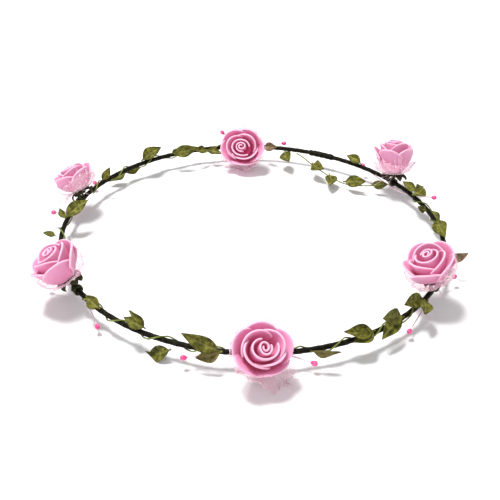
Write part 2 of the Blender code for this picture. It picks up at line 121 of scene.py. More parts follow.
def shell(parts, grid, half, uGrid, vGrid, fields, closed=False):
    # two skins of a thin sheet that meet where its half thickness runs out at the rims
    countU, countV = grid.shape[:2]
    if closed:
        wrapped = np.concatenate([grid[-1:], grid, grid[:1]])
        alongU = (wrapped[2:] - wrapped[:-2]) / 2
    else:
        alongU = np.gradient(grid, axis=0)
    normal = np.cross(alongU, np.gradient(grid, axis=1))
    normal /= np.linalg.norm(normal, axis=2, keepdims=True) + 1e-12
    half = half.copy()
    half[:, 0] = half[:, -1] = 0.0
    if not closed:
        half[0] = half[-1] = 0.0
    front = (grid + normal * half[..., None]).reshape(-1, 3)
    back = (grid - normal * half[..., None]).reshape(-1, 3)
    inner = half.ravel() > 0
    frontIndex = np.arange(countU * countV).reshape(countU, countV)
    backIndex = frontIndex.ravel().copy()
    backIndex[inner] = countU * countV + np.arange(inner.sum())
    backIndex = backIndex.reshape(countU, countV)
    points = np.concatenate([front, back[inner]])
    faces, uvs = [], []
    for i in range(countU if closed else countU - 1):
        for j in range(countV - 1):
            corners = [(i, j), (i + 1, j), (i + 1, j + 1), (i, j + 1)]
            for index, order in ((frontIndex, corners), (backIndex, corners[::-1])):
                faces.append(tuple(int(index[a % countU, b]) for a, b in order))
                uvs.extend((uGrid[a], vGrid[b]) for a, b in order)
    flat = {key: np.concatenate([value[0].ravel(), value[1].ravel()[inner]]) for key, value in fields.items()}
    parts.add(points, faces, uvs, flat)


def smoothPath(points, steps):
    knots = [Vector(p) for p in points]
    knots = [2 * knots[0] - knots[1], *knots, 2 * knots[-1] - knots[-2]]
    path = []
    for a, b, c, d in zip(knots, knots[1:], knots[2:], knots[3:]):
        for step in range(steps):
            t = step / steps
            path.append(0.5 * (2 * b + t * (c - a) + t * t * (2 * a - 5 * b + 4 * c - d)
                               + t ** 3 * (3 * b - a - 3 * c + d)))
    return [*path, knots[-2]]


def direction(azimuth, elevation):
    turn, rise = math.radians(azimuth), math.radians(elevation)
    return Vector((math.cos(rise) * math.cos(turn), math.cos(rise) * math.sin(turn), math.sin(rise)))


def ringFrame(angle):
    turn = math.radians(angle)
    outward = Vector((math.cos(turn), math.sin(turn), 0.0))
    return ringCentre + outward * ringRadius, upward.cross(outward), outward


def ringDegrees(length):
    return math.degrees(length / ringRadius)


view = {
    "distance": 0.450, "elevation": 31.91, "roll": 1.53, "lens": 64.49,
    "shift": (-0.0064, -0.037),
    "sky": 0.47, "key": 17.5, "keySize": 0.30, "keyPlace": (-0.30, 0.08, 1.20),
    "fill": 3.0, "fillSize": 1.0, "fillPlace": (-0.20, -1.0, 0.85),
}


def buildStudio():
    back = direction(-90.0, view["elevation"])
    right = Vector((1.0, 0.0, 0.0))
    up = back.cross(right)
    roll = math.radians(view["roll"])
    turnedRight = right * math.cos(roll) + up * math.sin(roll)
    turnedUp = up * math.cos(roll) - right * math.sin(roll)
    data = bpy.data.cameras.new("studioCamera")
    data.lens, data.sensor_width = view["lens"], 36.0
    data.shift_x, data.shift_y = view["shift"]
    data.clip_start, data.clip_end = 0.01, 20.0
    camera = bpy.data.objects.new("studioCamera", data)
    axes = Matrix((turnedRight, turnedUp, back)).transposed().to_4x4()
    camera.matrix_world = Matrix.Translation(ringCentre + back * view["distance"]) @ axes
    bpy.context.scene.collection.objects.link(camera)
    bpy.context.scene.camera = camera
    bpy.context.scene.view_settings.view_transform = "Standard"

    # white paper sweep: a very light matt face with only a faint tooth
    paper, tree, shader = newMaterial("whitePaperSweep", 0.9, Specular_IOR_Level=0.1)
    place = addNode(tree, "ShaderNodeTexCoord").outputs["Object"]
    tooth = addNode(tree, "ShaderNodeTexNoise", {"Vector": place, "Scale": 900.0, "Detail": 2.0})
    tint = addNode(tree, "ShaderNodeValToRGB", {0: tooth.outputs[0]}, ((0.3, "#F7F7F8"), (0.7, "#FAFAFA")))
    tree.links.new(tint.outputs[0], shader.inputs["Base Color"])
    size = 3.0
    low = -0.0001
    corners = [(-size, -size, low), (size, -size, low), (size, size, low), (-size, size, low)]
    floor = pieceFrom("paperFloor", corners, [(0, 1, 2, 3)], paper, smooth=False)

    world = bpy.data.worlds.new("studioSky")
    bpy.context.scene.world = world
    world.use_nodes = True
    sky = world.node_tree.nodes["Background"]
    sky.inputs["Color"].default_value = (1.0, 1.0, 1.0, 1.0)
    sky.inputs["Strength"].default_value = view["sky"]
    for name in ("key", "fill"):
        light = bpy.data.lights.new(name + "Softbox", "AREA")
        light.energy, light.size = view[name], view[name + "Size"]
        lamp = bpy.data.objects.new(name + "Softbox", light)
        lamp.location = view[name + "Place"]
        lamp.rotation_euler = (lamp.location - ringCentre).to_track_quat("Z", "Y").to_euler()
        bpy.context.scene.collection.objects.link(lamp)
    print("studio ready")


def foamMaterial():
    # EVA foam sheet, heat pressed into petals: matt, with a painted highlight on the cut rims and painted shade deep in
    # the crevices, and a weak painted glow that lifts that shade in place of the light the foam lets through
    # the emission below is a painted glow, not a lamp: it lifts the shade in the crevices
    material, tree, shader = newMaterial("evaFoamPetal", 0.62, Specular_IOR_Level=0.35, Sheen_Weight=0.15,
                                         Subsurface_Weight=0.25, Subsurface_Scale=0.0012,
                                         Emission_Strength=0.06, Emission_Color=toLinear("#F03C78"))
    shader.inputs["Subsurface Radius"].default_value = (1.0, 0.30, 0.42)
    # the attribute runs from painted shade in the crevices at 0 to a painted highlight on the rims at 1
    rim = addNode(tree, "ShaderNodeAttribute", attribute_name="shadeToRimLight").outputs["Fac"]
    place = addNode(tree, "ShaderNodeTexCoord").outputs["Object"]
    cloud = addNode(tree, "ShaderNodeTexNoise", {"Vector": place, "Scale": 160.0, "Detail": 3.0})
    uneven = addNode(tree, "ShaderNodeMath", {0: cloud.outputs[0], 1: 0.10, 2: -0.05}, operation="MULTIPLY_ADD")
    share = addNode(tree, "ShaderNodeMath", {0: rim, 1: uneven.outputs[0]}, operation="ADD")
    # the deepest pink stop is painted crevice shade and the palest is a painted rim highlight; the middle stops are the
    # petal's own pink
    colour = addNode(tree, "ShaderNodeValToRGB", {0: share.outputs[0]}, (
        (0.0, "#E04A82"), (1.0, "#EFC4D6"), (0.25, "#DE7AA6"), (0.50, "#DC8EB4"), (0.75, "#DD9ABD"), (0.90, "#E6AECA")))
    tree.links.new(colour.outputs[0], shader.inputs["Base Color"])
    # closed cells about 0.15 mm across, drawn as 0.3 mm so that they show
    cells = addNode(tree, "ShaderNodeTexVoronoi", {"Vector": place, "Scale": 3300.0})
    bump = addNode(tree, "ShaderNodeBump", {"Strength": 0.10, "Distance": 0.00005, "Height": cells.outputs[0]})
    tree.links.new(bump.outputs[0], shader.inputs["Normal"])
    return material


def leafMaterial():
    # embossed fabric-backed leaf paper: olive print, worn lighter on raised veins, fine cross grain
    material, tree, shader = newMaterial("embossedLeafPaper", 0.62, Specular_IOR_Level=0.16)
    uv = addNode(tree, "ShaderNodeUVMap", uv_map="sheetMm").outputs[0]
    place = addNode(tree, "ShaderNodeTexCoord").outputs["Object"]
    vein = addNode(tree, "ShaderNodeAttribute", attribute_name="vein").outputs["Fac"]
    age = addNode(tree, "ShaderNodeAttribute", attribute_name="age").outputs["Fac"]
    back = addNode(tree, "ShaderNodeAttribute", attribute_name="underside").outputs["Fac"]
    blotch = addNode(tree, "ShaderNodeTexNoise", {"Vector": place, "Scale": 420.0, "Detail": 5.0, "Roughness": 0.65})
    green = addNode(tree, "ShaderNodeValToRGB", {0: blotch.outputs[0]}, (
        (0.28, "#1C1A04"), (0.76, "#96964A"), (0.44, "#42420F"), (0.58, "#6A6922")))
    brown = addNode(tree, "ShaderNodeValToRGB", {0: blotch.outputs[0]}, (
        (0.3, "#5A4630"), (0.75, "#A08A72"), (0.5, "#7C6450")))
    aged = addNode(tree, "ShaderNodeMix", {0: age, 6: green.outputs[0], 7: brown.outputs[0]}, data_type="RGBA")
    light = addNode(tree, "ShaderNodeMath", {0: vein, 1: 0.45}, operation="MULTIPLY")
    veined = addNode(tree, "ShaderNodeMix", {0: light.outputs[0], 6: aged.outputs[2], 7: toLinear("#B4B268")},
                     data_type="RGBA")
    dull = addNode(tree, "ShaderNodeMath", {0: back, 1: 0.55}, operation="MULTIPLY")
    turned = addNode(tree, "ShaderNodeMix", {0: dull.outputs[0], 6: veined.outputs[2], 7: toLinear("#3F4519")},
                     data_type="RGBA")
    tree.links.new(turned.outputs[2], shader.inputs["Base Color"])
    # woven backing at 0.35 mm, coarse enough to show
    weave = addNode(tree, "ShaderNodeTexWave", {"Vector": uv, "Scale": 0.9, "Distortion": 1.5, "Detail": 2.0},
                    bands_direction="DIAGONAL")
    grain = addNode(tree, "ShaderNodeTexNoise", {"Vector": place, "Scale": 1900.0, "Detail": 3.0})
    height = addNode(tree, "ShaderNodeMath", {0: weave.outputs["Fac"], 1: 0.5, 2: grain.outputs[0]},
                     operation="MULTIPLY_ADD")
    bump = addNode(tree, "ShaderNodeBump", {"Strength": 0.55, "Distance": 0.00012, "Height": height.outputs[0]})
    tree.links.new(bump.outputs[0], shader.inputs["Normal"])
    return material


def paperMaterial(name, dark, middle, light, roughness, scale, bumpHeight):
    # crepe paper: colour and creases run with the grain of the winding
    material, tree, shader = newMaterial(name, roughness, Specular_IOR_Level=0.3)
    place = addNode(tree, "ShaderNodeTexCoord").outputs["Object"]
    mottle = addNode(tree, "ShaderNodeTexNoise", {"Vector": place, "Scale": scale, "Detail": 5.0, "Roughness": 0.7})
    colour = addNode(tree, "ShaderNodeValToRGB", {0: mottle.outputs[0]}, ((0.3, dark), (0.75, light), (0.52, middle)))
    tree.links.new(colour.outputs[0], shader.inputs["Base Color"])
    crease = addNode(tree, "ShaderNodeTexNoise", {"Vector": place, "Scale": scale * 4.0, "Detail": 3.0})
    bump = addNode(tree, "ShaderNodeBump", {"Strength": 0.7, "Distance": bumpHeight, "Height": crease.outputs[0]})
    tree.links.new(bump.outputs[0], shader.inputs["Normal"])
    return material


def tapeMaterial():
    # waxed floral tape stretched round wire: near black green, with a paler overlap line on each turn
    material, tree, shader = newMaterial("waxedFloralTape", 0.6, Specular_IOR_Level=0.10)
    place = addNode(tree, "ShaderNodeTexCoord").outputs["Object"]
    wind = addNode(tree, "ShaderNodeAttribute", attribute_name="windShare").outputs["Fac"]
    mottle = addNode(tree, "ShaderNodeTexNoise", {"Vector": place, "Scale": 700.0, "Detail": 5.0, "Roughness": 0.7})
    base = addNode(tree, "ShaderNodeValToRGB", {0: mottle.outputs[0]}, (
        (0.3, "#040300"), (0.8, "#2E2A10"), (0.5, "#0E0C03"), (0.65, "#1A1707")))
    edge = addNode(tree, "ShaderNodeValToRGB", {0: wind}, ((0.0, "#000000"), (1.0, "#FFFFFF"), (0.8, "#101010")))
    worn = addNode(tree, "ShaderNodeMath", {0: edge.outputs[0], 1: 0.5}, operation="MULTIPLY")
    colour = addNode(tree, "ShaderNodeMix", {0: worn.outputs[0], 6: base.outputs[0], 7: toLinear("#4A4620")},
                     data_type="RGBA")
    tree.links.new(colour.outputs[2], shader.inputs["Base Color"])
    crepe = addNode(tree, "ShaderNodeTexNoise", {"Vector": place, "Scale": 2600.0, "Detail": 3.0})
    bump = addNode(tree, "ShaderNodeBump", {"Strength": 0.6, "Distance": 0.00008, "Height": crepe.outputs[0]})
    tree.links.new(bump.outputs[0], shader.inputs["Normal"])
    return material


def tulleMaterial():
    # nylon tulle: holes about 0.6 mm across, so thin that most light passes
    material, tree, shader = newMaterial("nylonTulle", 0.45, Sheen_Weight=0.3, Specular_IOR_Level=0.4)
    uv = addNode(tree, "ShaderNodeUVMap", uv_map="sheetMm").outputs[0]
    net = addNode(tree, "ShaderNodeTexVoronoi", {"Vector": uv, "Scale": 1.6, "Randomness": 0.35},
                  feature="DISTANCE_TO_EDGE")
    yarn = addNode(tree, "ShaderNodeMath", {0: net.outputs[0], 1: 0.10}, operation="LESS_THAN")
    film = addNode(tree, "ShaderNodeMath", {0: yarn.outputs[0], 1: 0.36, 2: 0.13}, operation="MULTIPLY_ADD")
    tree.links.new(film.outputs[0], shader.inputs["Alpha"])
    place = addNode(tree, "ShaderNodeTexCoord").outputs["Object"]
    cloud = addNode(tree, "ShaderNodeTexNoise", {"Vector": place, "Scale": 260.0, "Detail": 2.0})
    colour = addNode(tree, "ShaderNodeValToRGB", {0: cloud.outputs[0]}, ((0.35, "#F8BDD3"), (0.65, "#FFE4EE")))
    tree.links.new(colour.outputs[0], shader.inputs["Base Color"])
    return material


def plainMaterial(name, hexLow, hexHigh, roughness, scale, bumpHeight, **values):
    # one finish with a slow colour drift and a fine bump
    material, tree, shader = newMaterial(name, roughness, **values)
    place = addNode(tree, "ShaderNodeTexCoord").outputs["Object"]
    drift = addNode(tree, "ShaderNodeTexNoise", {"Vector": place, "Scale": scale, "Detail": 3.0})
    colour = addNode(tree, "ShaderNodeValToRGB", {0: drift.outputs[0]}, ((0.35, hexLow), (0.65, hexHigh)))
    tree.links.new(colour.outputs[0], shader.inputs["Base Color"])
    fine = addNode(tree, "ShaderNodeTexNoise", {"Vector": place, "Scale": scale * 6.0, "Detail": 2.0})
    bump = addNode(tree, "ShaderNodeBump", {"Strength": 0.4, "Distance": bumpHeight, "Height": fine.outputs[0]})
    tree.links.new(bump.outputs[0], shader.inputs["Normal"])
    return material


def newGeometryTree(name, sockets):
    tree = bpy.data.node_groups.new(name, "GeometryNodeTree")
    for label, kind in sockets:
        tree.interface.new_socket(label, in_out="INPUT", socket_type="NodeSocket" + kind)
    tree.interface.new_socket("Geometry", in_out="OUTPUT", socket_type="NodeSocketGeometry")
    return tree, addNode(tree, "NodeGroupInput").outputs


def endTree(tree, geometry, material):
    real = addNode(tree, "GeometryNodeRealizeInstances", {0: geometry})
    finished = addNode(tree, "GeometryNodeSetMaterial", {"Geometry": real.outputs[0], "Material": material})
    addNode(tree, "NodeGroupOutput", {0: finished.outputs[0]})


def buildTubeTree():
    # a wound or bare strand along each path: the surface steps out a little at every turn of the winding
    tree, given = newGeometryTree("strandAlongPath", (
        ("Paths", "Geometry"), ("Radius", "Float"), ("Sides", "Int"), ("Turn length", "Float"),
        ("Turn step", "Float"), ("Unevenness", "Float"), ("Grain", "Float"), ("Material", "Material")))
    curve = addNode(tree, "GeometryNodeMeshToCurve", {"Mesh": given["Paths"]})
    length = addNode(tree, "GeometryNodeSplineParameter")
    kept = addNode(tree, "GeometryNodeStoreNamedAttribute", {
        "Geometry": curve.outputs[0], "Name": "alongPath", "Value": length.outputs["Length"]},
        data_type="FLOAT", domain="POINT")
    circle = addNode(tree, "GeometryNodeCurvePrimitiveCircle", {
        "Resolution": given["Sides"], "Radius": given["Radius"]})
    around = addNode(tree, "GeometryNodeSplineParameter")
    keptRound = addNode(tree, "GeometryNodeStoreNamedAttribute", {
        "Geometry": circle.outputs[0], "Name": "roundPath", "Value": around.outputs["Factor"]},
        data_type="FLOAT", domain="POINT")
    tube = addNode(tree, "GeometryNodeCurveToMesh", {
        "Curve": kept.outputs[0], "Profile Curve": keptRound.outputs[0], "Fill Caps": True})
    readAlong = addNode(tree, "GeometryNodeInputNamedAttribute", {"Name": "alongPath"}, data_type="FLOAT")
    readRound = addNode(tree, "GeometryNodeInputNamedAttribute", {"Name": "roundPath"}, data_type="FLOAT")
    turns = addNode(tree, "ShaderNodeMath", {0: readAlong.outputs[0], 1: given["Turn length"]}, operation="DIVIDE")
    shifted = addNode(tree, "ShaderNodeMath", {0: turns.outputs[0], 1: readRound.outputs[0]}, operation="SUBTRACT")
    wind = addNode(tree, "ShaderNodeMath", {0: shifted.outputs[0]}, operation="FRACT")
    stepped = addNode(tree, "ShaderNodeMath", {0: wind.outputs[0], 1: given["Turn step"]}, operation="MULTIPLY")
    place = addNode(tree, "GeometryNodeInputPosition")
    rough = addNode(tree, "ShaderNodeTexNoise", {"Vector": place.outputs[0], "Scale": given["Grain"], "Detail": 2.0})
    centred = addNode(tree, "ShaderNodeMath", {0: rough.outputs[0], 1: 0.5}, operation="SUBTRACT")
    swell = addNode(tree, "ShaderNodeMath", {
        0: centred.outputs[0], 1: given["Unevenness"], 2: stepped.outputs[0]}, operation="MULTIPLY_ADD")
    normal = addNode(tree, "GeometryNodeInputNormal")
    offset = addNode(tree, "ShaderNodeVectorMath", {0: normal.outputs[0], "Scale": swell.outputs[0]},
                     operation="SCALE")
    moved = addNode(tree, "GeometryNodeSetPosition", {"Geometry": tube.outputs[0], "Offset": offset.outputs[0]})
    marked = addNode(tree, "GeometryNodeStoreNamedAttribute", {
        "Geometry": moved.outputs[0], "Name": "windShare", "Value": wind.outputs[0]},
        data_type="FLOAT", domain="POINT")
    smooth = addNode(tree, "GeometryNodeSetShadeSmooth", {"Geometry": marked.outputs[0]})
    endTree(tree, smooth.outputs[0], given["Material"])
    return tree


def buildDotTree():
    # small flocked dots stuck all over a net
    tree, given = newGeometryTree("dotsOnNet", (
        ("Net", "Geometry"), ("Spacing", "Float"), ("Dot radius", "Float"), ("Seed", "Int"), ("Material", "Material")))
    spots = addNode(tree, "GeometryNodeDistributePointsOnFaces", {
        "Mesh": given["Net"], "Distance Min": given["Spacing"], "Density Max": 90000.0, "Seed": given["Seed"]},
        distribute_method="POISSON")
    dot = addNode(tree, "GeometryNodeMeshIcoSphere", {"Radius": given["Dot radius"], "Subdivisions": 2})
    flat = addNode(tree, "GeometryNodeTransform", {"Geometry": dot.outputs[0], "Scale": (1.0, 1.0, 0.35)})
    size = addNode(tree, "FunctionNodeRandomValue", {2: 0.7, 3: 1.15, "Seed": given["Seed"]}, data_type="FLOAT")
    placed = addNode(tree, "GeometryNodeInstanceOnPoints", {
        "Points": spots.outputs["Points"], "Instance": flat.outputs[0], "Rotation": spots.outputs["Rotation"],
        "Scale": size.outputs[1]})
    smooth = addNode(tree, "GeometryNodeSetShadeSmooth", {"Geometry": placed.outputs[0]})
    endTree(tree, smooth.outputs[0], given["Material"])
    return tree


def grown(name, source, tree, values):
    # runs a node tree on a copy of the source mesh and returns the result as a plain mesh piece
    host = bpy.data.objects.new(name + "Host", source)
    bpy.context.scene.collection.objects.link(host)
    modifier = host.modifiers.new("grow", "NODES")
    modifier.node_group = tree
    for item in tree.interface.items_tree:
        if item.item_type == "SOCKET" and item.in_out == "INPUT" and item.name in values:
            modifier[item.identifier] = values[item.name]
    graph = bpy.context.evaluated_depsgraph_get()
    mesh = bpy.data.meshes.new_from_object(host.evaluated_get(graph))
    mesh.name = name
    host.modifiers.remove(modifier)
    bpy.data.objects.remove(host, do_unlink=True)
    piece = bpy.data.objects.new(name, mesh)
    bpy.context.scene.collection.objects.link(piece)
    return piece


def strands(name, paths, material, radius, sides=10, turnLength=0.005, turnStep=0.0, unevenness=0.0, grain=900.0,
            cyclic=False):
    points, edges = [], []
    for path in paths:
        start = len(points)
        points.extend(tuple(p) for p in path)
        edges.extend((start + i, start + i + 1) for i in range(len(path) - 1))
        if cyclic:
            edges.append((start + len(path) - 1, start))
    mesh = bpy.data.meshes.new(name + "Paths")
    mesh.from_pydata(points, edges, [])
    return grown(name, mesh, tubeTree, {
        "Radius": radius, "Sides": sides, "Turn length": turnLength, "Turn step": turnStep,
        "Unevenness": unevenness, "Grain": grain, "Material": material})


def settle(piece, body, slot, *nodes):
    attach(piece, body)
    if nodes:
        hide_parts(*nodes)


ringLook = {
    "tapeRadius": 1.12 * mm, "turnLength": 5.2 * mm, "turnStep": 0.16 * mm, "unevenness": 0.20 * mm,
    "joinAngle": 66.0, "joinGap": 1.0 * mm, "sleeveLength": 14.0 * mm, "sleeveRadius": 1.55 * mm,
    "pointSpacing": 0.8 * mm,
}
vineLook = {
    "radius": 0.35 * mm, "helixRadius": 1.85 * mm, "turnLength": 21.0 * mm, "margin": 9.0 * mm,
    "unevenness": 0.22 * mm, "strandUnevenness": 0.16 * mm,
}


def arcPath(start, end, spacing):
    steps = max(4, round(math.radians(end - start) * ringRadius / spacing))
    return [ringFrame(start + (end - start) * i / steps)[0] for i in range(steps + 1)]


def buildRing():
    look = ringLook
    gap = ringDegrees(look["joinGap"]) / 2
    arc = arcPath(look["joinAngle"] + gap, look["joinAngle"] + 360.0 - gap, look["pointSpacing"])
    tape = strands("ringTapeWrap", [arc], finish["tape"], look["tapeRadius"], 16, look["turnLength"],
                   look["turnStep"], look["unevenness"], 500.0)
    settle(tape, "ring", "paper_tape", "ring_tape_wrap")
    half = ringDegrees(look["sleeveLength"]) / 2
    arc = arcPath(look["joinAngle"] - half, look["joinAngle"] + half, look["pointSpacing"] / 2)
    sleeve = strands("ringJoinTape", [arc], finish["tape"], look["sleeveRadius"], 18, look["turnLength"] * 0.6,
                     look["turnStep"] * 1.3, look["unevenness"], 500.0)
    settle(sleeve, "ring", "paper_tape", "ring_join_tape")
    print("ring wound")


def buildVines():
    look = vineLook
    angles = [math.degrees(math.atan2(*(Vector(joints[f"rose_{n}_tilt"]["pos_m"]) - ringCentre).yx)) % 360.0
              for n in range(1, 7)]
    margin = ringDegrees(look["margin"])
    number = 0
    for i, start in enumerate(angles):
        end = angles[(i + 1) % len(angles)]
        end += 360.0 if end < start else 0.0
        if start < ringLook["joinAngle"] < end:
            continue
        number += 1
        start, end = start + margin, end - margin
        turns = math.radians(end - start) * ringRadius / look["turnLength"]
        steps = round(turns * 28)
        path = []
        for step in range(steps + 1):
            share = step / steps
            point, _, outward = ringFrame(start + (end - start) * share)
            phase = 2 * math.pi * turns * share
            reach = look["helixRadius"] * (1 + 0.06 * math.sin(5.3 * phase + number))
            path.append(point + reach * (math.cos(phase) * outward + math.sin(phase) * upward))
        vine = strands(f"vineWire{number}", [path], finish["vine"], look["radius"], 10,
                       unevenness=look["unevenness"], grain=420.0)
        settle(vine, "ring", "vine_paper", f"vine_wire_{number}")
    print("vine twined")


leafLook = {
    "width": 7.9 * mm, "slimmest": 0.54, "thickness": 0.34 * mm, "stalkShare": 0.09, "stalkWidth": 0.10,
    "veinSpacing": 1.9 * mm, "veinRise": 0.10 * mm, "midribDepth": 0.22 * mm, "teeth": 15, "toothDepth": 0.045,
    "grid": (19, 44), "hubOffset": 3.1 * mm, "facing": Vector((0.0, -0.8, 0.6)),
}
# each node: angle round the ring, then its leaves: heading, lift, length, roll, curl, age
ringLeaves = {
    1: (227, (-172, -2, 12, 10, 0.1, 0)),
    2: (242, (175, 14, 11, 0, 0.06, 0), (-155, 10, 12, -15, 0.12, 0)),
    3: (250, (-174, -36, 17, 10, -0.05, 0)),
    4: (263, (-176, 21, 19, 5, 0.1, 0), (176, -21, 12, 0, 0.05, 0.35)),
    5: (303, (176, -6, 13, 0, 0.05, 0), (-166, 8, 16, 10, 0.1, 0)),
    6: (313, (-177, 21, 17, 12, 0.08, 0), (175, -13, 17, -8, 0.05, 0)),
    7: (323, (-162, 11, 16, 0, 0.15, 0), (152, 8, 14, 5, 0, 0)),
    8: (7, (-180, -4, 18, 20, 0.08, 0)),
    9: (14, (-105, 32, 8, 0, 0.05, 0)),
    10: (17, (166, -21, 10, -15, 0.12, 0)),
    11: (25, (-169, 15, 16, 0, 0.1, 0), (58, -10, 10, 10, 0.1, 0), (-18, 13, 10, -10, 0.1, 0)),
    12: (79, (-112, -7, 14, 0, 0.1, 0)),
    13: (108, (-158, -12, 10, 0, 0.05, 0), (-20, 14, 10, 8, 0.05, 0)),
    14: (121, (-160, 11, 16, 0, 0.1, 0), (-120, 42, 8, 12, 0.1, 0)),
    15: (133, (177, 11, 15, -8, 0.12, 0)),
    16: (139, (-178, -4, 11, 0, 0.1, 0), (21, -18, 12, 12, 0.1, 0)),
    17: (178, (-137, 16, 16, -6, 0.12, 0), (138, 26, 7, 18, 0.1, 0)),
    18: (186, (107, 3, 7, 25, 0.1, 0)),
}
# short leaves between the nodes, on the ring only
smallLeaves = ((152, (-158, 48, 9, 10, 0.1, 0.0)), (285, (15, 3, 13, 60, 0.05, 0.3)), (87, (-150, 14, 11, 0, 0.1, 0.8)),
               (346, (78, 26, 10, 0, 0.1, 1.0)), (50, (4, 6, 11, 0, 0.1, 0.0)))
strandPoints = ((74.6, 4.1, 0.2), (71.3, 6.3, -1.0), (67.3, 8.8, -3.0), (58.9, 12.9, -5.0),
                (51.1, 14.6, -5.4), (46.1, 11.3, -5.2), (41.7, 7.3, -4.0), (38.1, 3.5, -1.5))
strandLeaves = ((2, (-62, 8, 15, 0, 0.1, 0.0)), (3, (-92, -4, 15, 0, 0.1, 0.0)), (4, (-22, 10, 15, 0, 0.25, 0.0)),
                (6, (-12, 6, 10, 10, 0.1, 0.0)))


def addLeaf(parts, foot, along, length, roll, curl, age, seed):
    look = leafLook
    rng = random.Random(seed)
    facing = look["facing"]
    normal = (facing - facing.dot(along) * along).normalized()
    normal = Matrix.Rotation(math.radians(roll), 3, along) @ normal
    side = normal.cross(along)
    countU, countV = look["grid"]
    halfWidth = min(look["width"], look["slimmest"] * length) / 2 * rng.uniform(0.94, 1.06)
    twist = math.radians(rng.uniform(-35, 35))
    skew = rng.uniform(-0.07, 0.07)
    cup = rng.uniform(0.22, 0.50)
    wave = rng.uniform(0.15, 0.45) * mm
    grid = np.zeros((countU, countV, 3))
    vein = np.zeros((countU, countV))
    half = np.zeros((countU, countV))
    uGrid = np.sin(np.linspace(-math.pi / 2, math.pi / 2, countU))
    vGrid = 0.5 - 0.5 * np.cos(np.linspace(0.0, math.pi, countV))
    for j, s in enumerate(vGrid):
        blade = max(0.0, (s - look["stalkShare"]) / (1 - look["stalkShare"]))
        outline = max(math.sin(math.pi * blade ** 0.84), 0.0) ** 0.92 * (1 - 0.35 * blade ** 2)
        tooth = 1.0 - look["toothDepth"] * ((s * look["teeth"]) % 1.0)
        reach = halfWidth * max(outline * tooth, look["stalkWidth"] if s < 0.5 else 0.004)
        turn = twist * s
        across = side * math.cos(turn) + normal * math.sin(turn)
        out = normal * math.cos(turn) - side * math.sin(turn)
        spine = foot + along * length * (s - 0.10 * abs(curl) * s * s) + normal * curl * length * s * s
        spine += side * skew * length * math.sin(math.pi * s)
        for i, u in enumerate(uGrid):
            x = reach * u
            rise = cup * abs(x) ** 1.5 / halfWidth ** 0.5
            rise -= look["midribDepth"] * math.exp(-(x / (0.55 * mm)) ** 2) * min(1.0, 3 * outline)
            rib = (length * s - 0.85 * abs(x)) / look["veinSpacing"]
            ridge = max(0.0, math.cos(2 * math.pi * rib)) ** 6 * min(1.0, outline) * (1 - abs(u) ** 6)
            rise += look["veinRise"] * ridge + wave * abs(u) ** 3 * math.sin(9 * s + 2.1 * (u > 0) + seed)
            place = spine + across * x + out * rise
            place.z = max(place.z, look["thickness"] * 0.6)
            grid[i, j] = place
            vein[i, j] = max(ridge * 0.7, math.exp(-(x / (0.35 * mm)) ** 2)) * min(1.0, 2 * outline)
            edge = min((1 - abs(u)) * reach, (1 - s) * length + 0.02 * mm, s * length + 0.2 * mm)
            half[i, j] = look["thickness"] / 2 * min(1.0, (edge / (0.25 * mm)) ** 0.5)
    ones = np.ones((countU, countV))
    fields = {"vein": (vein, vein * 0.6), "age": (ones * age, ones * age), "underside": (ones * 0, ones)}
    if np.cross(grid[-1, countV // 2] - grid[0, countV // 2],
                grid[countU // 2, -1] - grid[countU // 2, 0]) @ np.array(normal) < 0:
        fields["underside"] = (ones, ones * 0)
    shell(parts, grid, half, uGrid * halfWidth / mm, vGrid * length / mm, fields)


def headingDirection(along, outward, heading, lift):
    turn, rise = math.radians(heading), math.radians(lift)
    return math.cos(rise) * (math.cos(turn) * along + math.sin(turn) * outward) + math.sin(rise) * upward


def ringLeafPiece(name, angle, leaves, seed):
    point, along, outward = ringFrame(angle)
    blades = [headingDirection(along, outward, heading, lift) for heading, lift, *_ in leaves]
    lean = sum((2 * blade for blade in blades), leafLook["facing"])
    lean -= lean.dot(along) * along
    hub = point + leafLook["hubOffset"] * lean.normalized()
    parts = meshParts()
    for k, (blade, (_, _, length, roll, curl, age)) in enumerate(zip(blades, leaves)):
        addLeaf(parts, hub - blade * 0.6 * mm, blade, length * mm, roll, curl, age, seed * 7 + k)
    return parts.finish(name, finish["leaf"])


def buildLeaves():
    for number, (angle, *leaves) in ringLeaves.items():
        piece = ringLeafPiece(f"ringLeaf{number:02d}", angle, leaves, number)
        settle(piece, "ring", "leaf_paper", f"leaf_{number:02d}")
    for number, (angle, leaf) in enumerate(smallLeaves, 1):
        settle(ringLeafPiece(f"smallLeaf{number}", angle, [leaf], 40 + number), "ring", "leaf_paper")
    print("leaves on the ring")


def buildStrand():
    knots = []
    for angle, inset, height in strandPoints:
        point, _, outward = ringFrame(angle)
        knots.append(point - inset * mm * outward + height * mm * upward)
    vine = strands("looseVine", [smoothPath(knots, 12)], finish["vine"], vineLook["radius"], 10,
                   unevenness=vineLook["strandUnevenness"], grain=420.0)
    settle(vine, "loose_strand", "vine_paper", "loose_vine_strand")
    for number, (knot, (azimuth, lift, length, roll, curl, age)) in enumerate(strandLeaves, 1):
        hub = knots[knot] + 1.25 * mm * upward
        parts = meshParts()
        along = direction(azimuth, lift)
        addLeaf(parts, hub - along * 0.6 * mm, along, length * mm, roll, curl, age, 70 + number)
        leaf = parts.finish(f"strandLeaf{number}", finish["leaf"])
        settle(leaf, "loose_strand", "leaf_paper", *([f"strand_leaf_{number}"] if number < 4 else []))
    print("loose strand hung")


roseLook = {
    "foamThickness": 0.95 * mm, "footRadius": 2.3 * mm, "neckDrop": 2.8 * mm, "tulleDrop": 0.7 * mm,
    "petalGrid": (31, 20), "budTurns": 1.75, "budPitch": 1.30 * mm, "budStart": 0.60 * mm, "budTop": 0.97, "coreShare": 0.40,
    # petals from the middle out: rim radius as a share, rim height as a share of the depth when closed and when
    # open, half width in degrees, flare, droop
    "collar": (0.43, 0.955, 0.94, 150, 0.3, 0.12),
    "middle": (0.69, 0.93, 0.89, 74, 0.9, 0.30),
    "outer": (1.0, 0.84, 0.74, 50, 2.1, 0.38),
}
